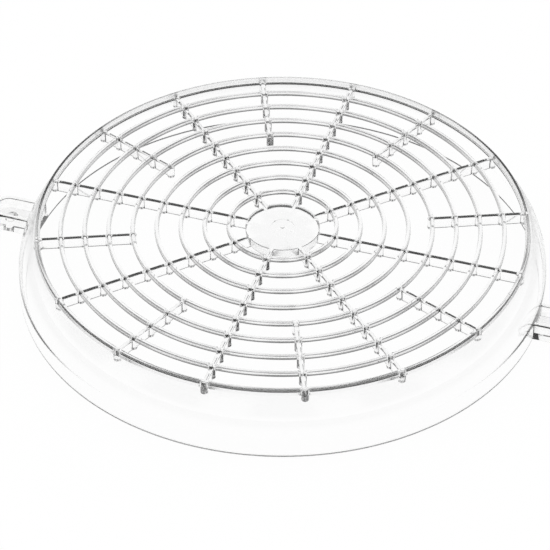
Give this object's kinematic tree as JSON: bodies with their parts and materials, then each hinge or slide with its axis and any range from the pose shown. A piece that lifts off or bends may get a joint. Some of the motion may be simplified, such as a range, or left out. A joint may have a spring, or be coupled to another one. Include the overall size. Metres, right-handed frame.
{
  "type": "plastic fan guard",
  "caption": "Clear moulded fan guard: round grille of rings on radial spokes, a low bell-shaped wall round it and a screw ear on each side.",
  "frame": {"origin": "middle of the circle that the wall's rim makes on the panel it is screwed to", "axes": "+Z out of the panel towards the grille, +X through one screw ear, a long spoke on each of +X, +Y, -X and -Y"},
  "size_m": [0.258, 0.2174, 0.0283],
  "materials": {
    "clear_polycarbonate": "clear, polished mould finish"
  },
  "bodies": {
    "root": {"fan_guard": "clear_polycarbonate"}
  },
  "joints": []
}
